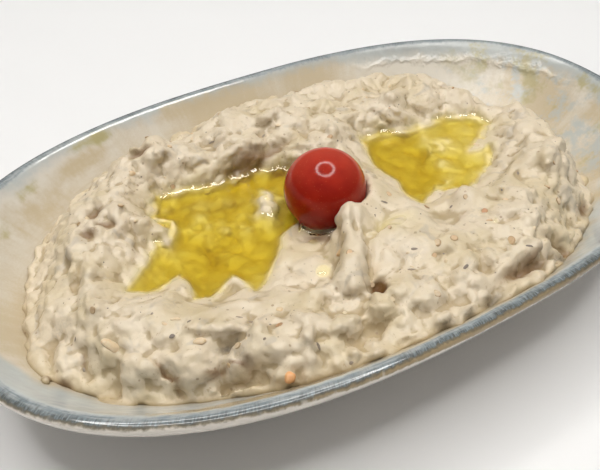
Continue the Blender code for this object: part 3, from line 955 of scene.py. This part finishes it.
def dressDip(piece):
    material, nodes, shader = newMaterial("smokyPaste", Roughness=0.42, Subsurface_Weight=0.1,
                                          Subsurface_Radius=(1.0, 0.75, 0.5), Subsurface_Scale=0.0015)
    paste = dip["paste"]
    place, fact, mix, step, clouds = nodes.place(), nodes.fact, nodes.mix, nodes.step, nodes.clouds
    colour = mix(clouds(place, 70, 3, 0.42, 0.68, 0, 0.75), paste["light"], paste["tan"])
    torn = clouds(place, 520, 3, 0.42, 0.62, roughness=0.6, distortion=1.5)
    patches = clouds(place, 130, 2, 0.58, 0.72, 0, 0.55, distortion=0.8)
    colour = mix(nodes.highest(patches, fact("greys") * torn * 0.9), colour, paste["grey"])
    # painted shade: creases, hollows and deep dents darkened with the crease colour
    low = nodes.highest(step(fact("crevice"), 0.12, 0.5), step(fact("valley"), 0.8, 3.0, 0, 0.25))
    colour = mix(nodes.highest(low, fact("dented")) * 0.7, colour, paste["crease"])
    # painted shade: the dip's skirt darker tan near the dish's wall, where the heap's near side is in shade
    colour = mix(fact("skirt") * 0.4, colour, paste["tan"])
    # the thin line where the dip meets the dish: partly oil seeping there, partly painted shade
    colour = mix(fact("contact") * 0.75, colour, paste["crease"])
    colour = mix(clouds(place, 420, 2, 0.66, 0.74, 0, 0.5, distortion=2.5), colour, paste["strand"])
    dots = step(nodes.cells(place, 300), 0.16, 0.08) * clouds(place, 190, 1, 0.5, 0.56)
    colour = mix(dots * 0.55, colour, paste["dot"])
    smeared = fact("smeared")
    colour = mix(smeared * clouds(place, 200, 3, 0.3, 0.6, 0.2, 0.8), colour, paste["smeared"])
    # under the oil the paste is darker: partly its wet colour, partly painted shade for light the oil holds
    # back
    colour = mix(fact("oiled") * 0.8, colour, paste["oiled"])
    # brown of stains and oil, and painted shade in creases and hollows
    colour = mix(fact("browns") * step(torn, 0.0, 1.0, 0.93, 1.0), colour, paste["brown"])
    # char, and painted shade in pits and in crevices against the dish's wall
    colour = mix(fact("charred") * step(torn, 0.0, 1.0, 0.75, 1.0), colour, paste["burnt"])
    nodes.feed(shader.inputs["Base Color"], colour)
    nodes.feed(shader.inputs["Roughness"], step(smeared, 0.1, 0.8, 0.42, 0.2))
    soft = nodes.bump(nodes.noise(place, 330, 2), 0.0006, 0.35)
    nodes.feed(shader.inputs["Normal"], nodes.bump(nodes.noise(place, 900, 3, 0.6), 0.00018, 0.25, soft))
    wear(piece, material)


oil = {
    # the oil's edge in plan, its level under the rim, and where it is shallow: x, y, half length and width,
    # turn, depth
    "oil_left": {
        "level": -8.4, "low": (-76, -28), "high": (-4, 30),
        "shore": [
            (-73.2, -5), (-69.2, -8.4), (-63.8, -7.8), (-58.8, -6.3), (-57.6, -10.6), (-58.5, -17.6),
            (-55.3, -18.8), (-50.7, -17.1), (-46, -14.8), (-44.5, -18.4), (-43.4, -23.8), (-40, -21.2),
            (-35.6, -17.8), (-31.1, -14.1), (-25.8, -6.9), (-19.5, -5), (-12, 0), (-6, 16), (-9, 22.5),
            (-21, 24.4), (-32.4, 24.2), (-40, 27), (-49.8, 28.6), (-54.4, 20.3), (-49.8, 17), (-51.5, 11.8),
            (-55.9, 6), (-58.6, 8.2), (-64.1, 2.9), (-70, -1.4)],
        "shallows": [
            (-36, 19, 10, 3, -20, 1.9), (-66, -3, 7, 4, 30, 2.2), (-57, 2.5, 4, 4, 50, 1.9),
            (-44, 10, 5, 3.5, 50, 1.9), (-42, -20, 4, 2.5, 60, 1.7), (-52, 25, 5, 3, 0, 1.8),
            (-32, 4.5, 9, 5, -10, 1.3), (-44, 12, 5, 3, 30, 1.1), (-21.3, 8.6, 6.8, 3.8, 62, -1.9)]},
    "oil_right": {
        "level": -7.4, "low": (15, -25), "high": (73, 24),
        "shore": [
            (21.5, 14.3), (24.4, 18.8), (32.1, 20), (37, 16.5), (46.8, 15), (57, 15.5), (66.5, 11),
            (67.5, 6), (61, 1.5), (54.6, -2.2), (51, -4), (57, -6.6), (53, -11.5), (44.5, -16.8),
            (36.5, -20.6), (32.5, -15.5), (27.3, -15.1), (20, -17.5), (18.5, -11), (20.4, -4.5), (19, 1.3),
            (19.4, 7.7)],
        "shallows": [
            (57, 2, 16, 13, 0, 1.25), (49, -11, 14, 7, 28, 1.1), (42.5, 3, 3.4, 13, -20, 0.5),
            (46, 6, 4, 6, 0, 0.6), (20.5, -14.5, 3, 3, 0, 1.8), (32, -15.5, 4.4, 3, 20, 0.15)]},
    "depth": 3.0,
    "ragged": 1.3,  # how far the shallows' outlines wander
    "laidOut": (-3.2, -0.6),  # from where outside the oil's edge to where the dip is laid out anew
    "sides": (-6, 3),  # from where to where a pool's far side turns into its near one
    "bank": (1.1, 0.5),  # how soon the full depth is reached, and how steeply the dip rises beside the oil
    "step": 0.42,
    "meniscus": ((0.2, 1.3), (0.5, 1.7)),  # height and reach, each on the near side and on the far one
    # how steeply the near side may rise, to where, where it is let go, and which way the near side lies
    "beach": {"rise": 0.58, "steady": 7, "end": 12, "turn": -121.8},
    "sunk": 0.35,  # how far the oil reaches into the dip
    "density": 520,
    "tint": (0.92, 0.862, 0.10, 1),
    "dropTint": (0.98, 0.96, 0.75, 1),
}


# the faces with a wet corner, and those beside two that would only touch at a corner
def keptFaces(piece, wet):
    around = {}
    for polygon in piece.data.polygons:
        for corner in polygon.vertices:
            around.setdefault(corner, []).append(polygon)
    kept = {polygon.index for polygon in piece.data.polygons
            if any(wet[corner] for corner in polygon.vertices)}
    changed = True
    while changed:
        changed = False
        for faces in around.values():
            here = [face for face in faces if face.index in kept]
            if len(here) == 2 and len(set(here[0].vertices) & set(here[1].vertices)) == 1:
                kept.update(face.index for face in faces)
                changed = True
    return kept


def makeOil(nodeName, name, tree):
    values = oil[nodeName]
    level = rim + values["level"] * mm
    low, high = Vector(values["low"]) * mm, Vector(values["high"]) * mm
    across, deep = (high - low) / (oil["step"] * mm)
    bpy.ops.mesh.primitive_grid_add(x_subdivisions=int(across), y_subdivisions=int(deep), size=1,
                                    location=((low + high) / 2).to_3d())
    piece = newest(name)
    piece.scale = (high.x - low.x, high.y - low.y, 1)
    settle(piece)
    place = points(piece)
    bed = np.array([heightBelow(tree, x, y) or 0 for x, y in place[:, :2]])
    side = nearSide(place, values["shore"])
    rise, reach = (far + (near - far) * side for near, far in oil["meniscus"])
    away = distances(treeOfPlaces(place[bed >= level + rise * mm]), place)
    top = level + rise * mm * np.exp(-away / (reach * mm))
    wet = (bed < top) & (insideBy(place, values["shore"]) > -3 + 2 * side)
    for vertex, z in zip(piece.data.vertices, top):
        vertex.co.z = z
    kept = keptFaces(piece, wet)
    selectFaces(piece, lambda polygon: polygon.index not in kept)
    bpy.ops.mesh.delete(type="FACE")
    leaveEdit()
    modify(piece, "SMOOTH", factor=0.5, iterations=3, use_x=False, use_y=False)
    editAll()
    plunge = 0.5  # well under everything, and brought up to the dip point by point
    bpy.ops.mesh.extrude_region_move(TRANSFORM_OT_translate={"value": (0, 0, -plunge)})
    leaveEdit()
    for vertex in piece.data.vertices:
        if vertex.co.z < 0:
            surface = vertex.co.z + plunge
            bottom = heightBelow(tree, vertex.co.x, vertex.co.y) or surface
            vertex.co.z = min(bottom, surface) - oil["sunk"] * mm
    editAll()
    bpy.ops.mesh.normals_make_consistent(inside=False)
    leaveEdit()
    faceOutward(piece)
    pick(piece)
    bpy.ops.object.shade_smooth_by_angle(angle=math.radians(50))
    return piece, place[wet]


def dressOil(pieces, name="oliveOil", tint="tint", roughness=0.03):
    material, nodes, shader = newMaterial(name, Base_Color=(1, 1, 1, 1), Roughness=roughness, IOR=1.47,
                                          Transmission_Weight=1.0)
    output = material.node_tree.nodes["Material Output"]
    clear = nodes.add("BsdfTransparent")
    lamps = nodes.out(nodes.add("LightPath"), "Is Shadow Ray")
    through = nodes.add("MixShader", {0: lamps, 1: nodes.out(shader), 2: nodes.out(clear)})
    nodes.feed(output.inputs["Surface"], nodes.out(through))
    depth = nodes.add("VolumeAbsorption", {"Color": oil[tint], "Density": oil["density"]})
    nodes.feed(output.inputs["Volume"], nodes.out(depth))
    for piece in pieces:
        wear(piece, material)


def onDip(trees, x, y, size, rng, sunk, lean=0.25):
    spot, normal = below(trees, x, y)
    normal = (normal + Vector(rng.normal(0, lean, 3))).normalized()
    return standing(spot - normal * sunk, normal, size, rng.uniform(0, math.tau))


def strew(count, rng, edge=0.93):  # random places over the dip, seen from above
    low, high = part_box("dip")
    places = []
    while len(places) < count:
        x, y = rng.uniform(low.x, high.x), rng.uniform(low.y, high.y)
        onIt = abs(x / high.x) ** 2.3 + abs(y / high.y) ** 2.3 < edge
        spot = np.array([(x, y, 0)])
        if onIt and max(insideBy(spot, oil[pool]["shore"])[0] for pool in ("oil_left", "oil_right")) < -0.5:
            places.append((x, y))
    return places


def gather(template, places, tones, name):  # copies of one shape, each with a tone of its own, as one piece
    copies = copyTo(template, places)
    for piece, tone in zip(copies, tones):
        giveAttribute(piece, "tone", np.full(len(piece.data.vertices), float(tone)))
    bpy.data.objects.remove(template)
    return join(copies, name)


def crumb(name, subdivisions, size, strength):  # a ball with an uneven surface
    bpy.ops.mesh.primitive_ico_sphere_add(subdivisions=subdivisions, radius=1)
    piece = newest(name)
    modify(piece, "DISPLACE", texture=cloudTexture(name + "Relief", size), strength=strength, mid_level=0.5)
    shadeSmooth(piece)
    return piece


def dressToned(piece, name, values):
    material, nodes, shader = newMaterial(name, Roughness=values["roughness"], Subsurface_Scale=0.001,
                                          Subsurface_Weight=values["clear"], Subsurface_Radius=(1, 0.7, 0.4))
    skin = nodes.add("Group", {"Place": nodes.place(), "Tone": nodes.fact("tone"), **values["colours"]},
                     node_tree=tonedSkin)
    colour = nodes.out(skin, "Colour")
    if "ring" in values:
        colour = nodes.mix(nodes.step(nodes.fact("edge"), 0.6, 0.95, 0, 0.8), colour, values["ring"])
    nodes.feed(shader.inputs["Base Color"], colour)
    nodes.feed(shader.inputs["Normal"], nodes.bump(nodes.out(skin, "Grain"), 0.0002, 0.5))
    wear(piece, material)


seeds = {
    # x, y, half length, browning from 0 to 1
    "placed": [
        (25.3, -38.6, 1.25, 0.9), (22.9, -43.0, 1.1, 0.5), (43.1, -49.5, 1.2, 0.6), (3.1, -43.4, 1.45, 0.1),
        (21.8, -53.0, 1.5, 0.3), (7.7, -45.1, 1.2, 0.4), (0.5, -45.7, 1.0, 0.5), (-8.8, -58.0, 1.3, 0.1),
        (-86, -14, 1.1, 0.3), (34, -38, 1.1, 0.2), (52, -38, 1.1, 0.4), (-44, 30, 1.1, 0.4),
        (12, 38, 1.1, 0.3), (-4, -31, 1.0, 0.2)],
    "strewn": 26,
    "size": (0.85, 1.25),
    "width": (0.7, 0.85),  # as a share of the length, as the next two are
    "height": 0.42,
    "sunk": 0.12,
    "browning": (1.2, 3),  # of the strewn ones: the two numbers of a beta spread
    "blunt": (0.8, 0.3),  # where the round end starts on a ball of radius 1, and how far it is pushed in
    "seed": 21,
    "colours": {"Pale": (0.66, 0.54, 0.37, 1), "Middle": (0.60, 0.42, 0.24, 1),
                "Dark": (0.42, 0.19, 0.07, 1)},
    "ring": (0.36, 0.24, 0.12, 1),
    "roughness": 0.3,
    "clear": 0.2,
}


def makeSeeds(trees):
    rng = np.random.default_rng(seeds["seed"])
    bpy.ops.mesh.primitive_uv_sphere_add(segments=20, ring_count=12, radius=1)
    seed = newest("seed")
    start, push = seeds["blunt"]
    selectFaces(seed, lambda polygon: polygon.center.z > start)
    bpy.ops.transform.translate(value=(0, 0, -push))
    leaveEdit()
    shadeSmooth(seed)
    place = points(seed)
    giveAttribute(seed, "edge", np.hypot(place[:, 0], place[:, 1]))
    wanted = [(x * mm, y * mm, half, tone) for x, y, half, tone in seeds["placed"]]
    wanted += [(x, y, rng.uniform(*seeds["size"]), rng.beta(*seeds["browning"]))
               for x, y in strew(seeds["strewn"], rng)]
    places = []
    for x, y, half, tone in wanted:
        size = Vector((half, half * rng.uniform(*seeds["width"]), half * seeds["height"])) * mm
        places.append(onDip(trees, x, y, size, rng, half * seeds["sunk"] * mm))
    return gather(seed, places, [tone for *_, tone in wanted], "aubergine_seeds")


flecks = {
    # x, y, half length, width as a share of it, turn in plan
    "placed": [
        (20, -30.2, 0.9, 0.6, 0), (2.8, -20, 1.7, 0.35, -40), (37.4, -33.1, 1.2, 0.5, 40),
        (49.4, -28.1, 1.6, 0.4, 60), (-92.1, -15.1, 1.2, 0.5, 40), (-93.3, -22.2, 1.1, 0.5, 90),
        (-72, -32.3, 1.1, 0.7, 0), (-66.6, -30.9, 0.8, 0.8, 0), (-73.4, -23, 0.6, 0.8, 0),
        (-43.1, -55, 1.6, 0.4, -70), (-38.2, -62, 0.9, 0.6, 0), (-54.3, -35, 1.5, 0.3, -30),
        (-52.2, -37.5, 1.6, 0.3, -50), (-3.2, -41.1, 1.8, 0.3, -30), (-7.3, -46, 1.8, 0.25, -25),
        (4.1, -54.5, 2.2, 0.3, 20), (23.8, -57.7, 1.7, 0.4, -35), (-35, 24, 1.6, 0.4, 10),
        (-25, 40, 2.2, 0.25, -20), (-8, 34, 1.4, 0.4, 20), (34, -30, 1.2, 0.4, 30)],
    "strewn": 230,
    "size": (0.16, 0.55),
    "width": (0.3, 0.9),  # as a share of the length
    "thickness": (0.12, 0.5),  # at most, in mm and as a share of the half length
    "sunk": 0.02,
    "smaller": (1.1, 3.5),  # the beta spread of their sizes
    "seed": 33,
    "colours": {"Pale": (0.42, 0.32, 0.21, 1), "Middle": (0.27, 0.215, 0.165, 1),
                "Dark": (0.14, 0.115, 0.10, 1)},
    "roughness": 0.55,
    "clear": 0.0,
}


def makeFlecks(trees):
    rng = np.random.default_rng(flecks["seed"])
    fleck = crumb("fleck", 2, 0.9, 0.7)
    places, tones = [], []
    for x, y, half, share, turn in flecks["placed"]:
        places.append(lying(*below(trees, x * mm, y * mm), (half * 0.75, half * share * 0.7, 0.1), turn))
        tones.append(rng.uniform(0.3, 0.9))
    small, large = flecks["size"]
    thickest, share = flecks["thickness"]
    for x, y in strew(flecks["strewn"], rng):
        half = small + (large - small) * rng.beta(*flecks["smaller"])
        size = Vector((half, half * rng.uniform(*flecks["width"]), min(thickest, half * share))) * mm
        places.append(onDip(trees, x, y, size, rng, flecks["sunk"] * mm))
        tones.append(rng.beta(1.5, 1.5))
    return gather(fleck, places, tones, "charred_flecks")


chunks = {
    # x, y, half length, width and height, turn, tone from pale to orange
    "placed": [
        (-85.8, -25.1, 2.8, 1.6, 1.2, -32, 0.12), (-66.8, -37.2, 1.7, 1.1, 0.8, -30, 0.12),
        (-18, -27.7, 1.6, 1.0, 0.8, -25, 0.5), (-52.8, -57.3, 1.5, 1.5, 1.5, 0, 1.0),
        (-69, -28, 1.4, 0.5, 0.4, -30, 0.1)],
    "strewn": 34,
    "size": (0.5, 1.2),
    "width": (0.5, 0.9),  # as a share of the length, as the next two are
    "height": 0.5,
    "sunk": 0.2,
    "orange": (1.0, 6),  # the beta spread of their tones
    "seed": 45,
    "colours": {"Pale": (0.66, 0.55, 0.38, 1), "Middle": (0.64, 0.45, 0.24, 1),
                "Dark": (0.68, 0.36, 0.16, 1)},
    "roughness": 0.32,
    "clear": 0.2,
}


def makeChunks(trees):
    rng = np.random.default_rng(chunks["seed"])
    chunk = crumb("chunk", 3, 1.1, 0.55)
    places, tones = [], []
    for x, y, length, width, height, turn, tone in chunks["placed"]:
        places.append(lying(*below(trees, x * mm, y * mm), (length, width, height), turn))
        tones.append(tone)
    for x, y in strew(chunks["strewn"], rng):
        half = rng.uniform(*chunks["size"])
        size = Vector((half, half * rng.uniform(*chunks["width"]), half * chunks["height"])) * mm
        places.append(onDip(trees, x, y, size, rng, half * chunks["sunk"] * mm))
        tones.append(rng.beta(*chunks["orange"]))
    return gather(chunk, places, tones, "aubergine_bits")


drops = {
    # x, y, radius and height of drops on the dip
    "placed": [
        (-24.4, -28.6, 2.4, 0.6), (24, -44.2, 0.6, 0.4), (25.2, -43.2, 0.4, 0.3), (-21, -24.5, 0.6, 0.3),
        (-19.6, -15.8, 1.6, 0.4)],
    "foam": ((-21.8, 8.2), 2.2, 13),  # small bubbles at the end of the dip that stands out of the oil
    "foamSize": (0.22, 0.55),
    "seed": 52,
    # oil that climbs the tomato where it stands in the dip, hollow like a collar
    "foot": {"reach": 2.4, "rise": 1.7, "above": 1.95, "outward": 1.7, "slopes": (-22, -88),
             "around": 144, "across": 32, "span": (-134, 36, 12)},  # middle, half width and taper of its arc
}


def makeDrops(trees):
    rng = np.random.default_rng(drops["seed"])
    bpy.ops.mesh.primitive_uv_sphere_add(segments=24, ring_count=14, radius=1)
    drop = newest("drop")
    shadeSmooth(drop)
    places = []
    for x, y, radius, height in drops["placed"]:
        spot, _ = below(trees, x * mm, y * mm)
        places.append(standing(spot, upward, Vector((radius, radius * 0.85, height)) * mm, 0.6))
    (x, y), reach, count = drops["foam"]
    for _ in range(count):
        radius = rng.uniform(*drops["foamSize"])
        u, v = x + rng.normal(0, reach * 0.45), y + rng.normal(0, reach * 0.3)
        spot, _ = below(trees, u * mm, v * mm)
        spot.z = max(spot.z, rim + oil["oil_left"]["level"] * mm)
        places.append(standing(spot, upward, Vector((radius, radius, radius * 0.9)) * mm, 0))
    copies = copyTo(drop, places)
    bpy.data.objects.remove(drop)
    return join(copies, "oil_drops")


def footSlopes(trees, middle, radius):  # how far down the tomato the dip is met, all round
    foot = drops["foot"]
    slopes = []
    for k in range(foot["around"]):
        angle = math.tau * k / foot["around"]
        for slope in np.radians(np.arange(*foot["slopes"], -1)):
            reach = radius * math.cos(slope) + foot["outward"] * mm
            x, y = (reach * part(angle) for part in (math.cos, math.sin))
            if (middle.z + radius * math.sin(slope) - foot["above"] * mm
                    < below(trees, middle.x + x, middle.y + y)[0].z):
                break
        slopes.append(slope)
    return np.convolve(np.array(slopes[-3:] + slopes + slopes[:3]), np.full(7, 1 / 7), "valid")


def makeFootRing(trees):
    foot = drops["foot"]
    low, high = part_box("tomato")
    middle, radius = (low + high) / 2, (high.x - low.x) / 2
    tube = foot["rise"] * mm
    bpy.ops.mesh.primitive_torus_add(major_radius=radius, minor_radius=tube, location=middle,
                                     major_segments=foot["around"], minor_segments=foot["across"])
    piece = newest("foot_ring")
    settle(piece)
    place = points(piece) - np.array(middle)
    turn = np.arctan2(place[:, 1], place[:, 0])
    turns = np.round(turn / math.tau * foot["around"]).astype(int) % foot["around"]
    slope = footSlopes(trees, middle, radius)[turns]
    # the tube's upper outer quarter becomes a hollow curve, the rest stays within the tomato and the dip
    flat = np.hypot(place[:, 0], place[:, 1])
    out, up = (flat - radius) / tube, place[:, 2] / tube
    hollow = (out > -1e-4) & (up > -1e-4)
    along = np.where(hollow, (1 - up) * foot["reach"], out * np.where(out > 0, foot["reach"], 0.8))
    lift = np.where(hollow, 1 - out, np.where(out > 0, up * 0.6, np.minimum(up, 1)))
    middleTurn, span, taper = foot["span"]
    there = 1 - smoothStep(span - taper, span, np.abs((np.degrees(turn) - middleTurn + 180) % 360 - 180))
    whole = 0.1 + 0.9 * there
    reach = radius * np.cos(slope) + (along * whole - 0.6 * (1 - there)) * mm
    place = np.stack([place[:, 0] / flat * reach, place[:, 1] / flat * reach,
                      radius * np.sin(slope) + (lift * whole - whole) * tube], 1)
    movePoints(piece, place + np.array(middle))
    shadeSmooth(piece)
    return piece


tomato = {
    "radius": 12.7,
    "squash": (1.0, 1.0, 1.02),
    "red": (0.265, 0.009, 0.0035, 1),
    "lighterRed": (0.35, 0.017, 0.006, 1),
    "paintedSheen": (0.56, 0.085, 0.045, 1),
    "freckle": (0.6, 0.16, 0.06, 1),
}


def makeTomato():
    low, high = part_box("tomato")
    bpy.ops.mesh.primitive_uv_sphere_add(segments=96, ring_count=64, radius=tomato["radius"] * mm,
                                         location=(low + high) / 2)
    piece = newest("cherry_tomato")
    piece.scale = tomato["squash"]
    settle(piece)
    shadeSmooth(piece)
    return piece


def dressTomato(piece):
    material, nodes, shader = newMaterial("tomatoSkin", Roughness=0.13, IOR=1.33, Subsurface_Weight=0.1,
                                          Subsurface_Radius=(1.0, 0.2, 0.1), Subsurface_Scale=0.002)
    place = nodes.place()
    colour = nodes.mix(nodes.clouds(place, 160, 3, 0.35, 0.7), tomato["red"], tomato["lighterRed"])
    # painted sheen: the upper half lighter and pinker towards its outline, standing in for reflected light
    facing = nodes.out(nodes.add("LayerWeight", {"Blend": 0.35}), "Facing")
    paintedSheen = nodes.step(nodes.parts(place)[2], rim, rim + 12 * mm) * facing
    colour = nodes.mix(paintedSheen, colour, tomato["paintedSheen"])
    colour = nodes.mix(nodes.step(nodes.cells(place, 1100), 0.2, 0.1, 0, 0.25), colour, tomato["freckle"])
    nodes.feed(shader.inputs["Base Color"], colour)
    wear(piece, material)


stage = {
    "ringHeight": 1.0,
    "ringRadius": 0.364,
    "tube": 0.05,
    "glow": 17.0,
    "sky": (0.06, 0.36),  # its strength at the horizon and overhead
    "floor": 0.77,
}


def makeStage():
    bpy.ops.mesh.primitive_plane_add(size=6, location=(0, 0, 0))
    floor = newest("floor")
    wear(floor, newMaterial("paleFloor", Base_Color=(stage["floor"],) * 3 + (1,), Roughness=0.6)[0])
    bpy.ops.mesh.primitive_torus_add(major_radius=stage["ringRadius"], minor_radius=stage["tube"],
                                     major_segments=48, minor_segments=8,
                                     location=(0, 0.03, stage["ringHeight"]))
    ring = newest("ring_light")
    wear(ring, newMaterial("ringGlow", Emission_Color=(1, 0.98, 0.95, 1), Emission_Strength=stage["glow"],
                           Base_Color=(0, 0, 0, 1))[0])
    world = bpy.data.worlds.new("studio")
    bpy.context.scene.world = world
    world.use_nodes = True
    nodes = Nodes(world.node_tree)
    up = nodes.parts(nodes.out(nodes.add("TexCoord"), "Generated"))[2]
    background = world.node_tree.nodes["Background"]
    background.inputs["Color"].default_value = (1, 1, 1, 1)
    nodes.feed(background.inputs["Strength"], nodes.step(up, 0.0, 0.9, *stage["sky"]))
    bpy.context.scene.view_settings.view_transform = "Standard"


# the pieces, each made when what it stands on is there
glazedDish = makeDish()
markGlaze(glazedDish)
print("dish made")
wallTree = treeOf(glazedDish)
babaGanoush = makeDip(wallTree)
print("dip made of", len(babaGanoush.data.polygons), "faces")
dipTree = treeOf(babaGanoush)
oilLeft, wetLeft = makeOil("oil_left", "oil_pool_left", dipTree)
oilRight, wetRight = makeOil("oil_right", "oil_pool_right", dipTree)
dressOil([oilLeft, oilRight])
print("oil poured")
markOiled(babaGanoush, np.concatenate([wetLeft, wetRight]), wallTree)
dressDip(babaGanoush)
print("dip dressed")
markGreasy(glazedDish, dipTree)
dressDish(glazedDish)
print("dish dressed")
aubergineSeeds = makeSeeds([dipTree])
charredFlecks = makeFlecks([dipTree])
aubergineBits = makeChunks([dipTree])
oilDrops = join([makeDrops([dipTree]), makeFootRing([dipTree, treeOf(oilLeft)])], "oil_drops")
dressToned(aubergineSeeds, "seedSkin", seeds)
dressToned(charredFlecks, "charredSkin", flecks)
dressToned(aubergineBits, "aubergineFlesh", chunks)
dressOil([oilDrops], "clearDrops", "dropTint", 0.1)
print("seeds, flecks, bits and drops made")
cherryTomato = makeTomato()
dressTomato(cherryTomato)
print("tomato made")
makeStage()
print("stage set")

for piece, node, slot in ((glazedDish, "dish", "dish"), (babaGanoush, "dip", "dip"),
                          (oilLeft, "oil_left", "oil"), (oilRight, "oil_right", "oil"),
                          (cherryTomato, "tomato", "tomato")):
    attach(piece, "root")
    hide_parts(node)
for piece, slot in ((aubergineSeeds, "dip"), (charredFlecks, "dip"), (aubergineBits, "dip"),
                    (oilDrops, "oil")):
    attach(piece, "root")
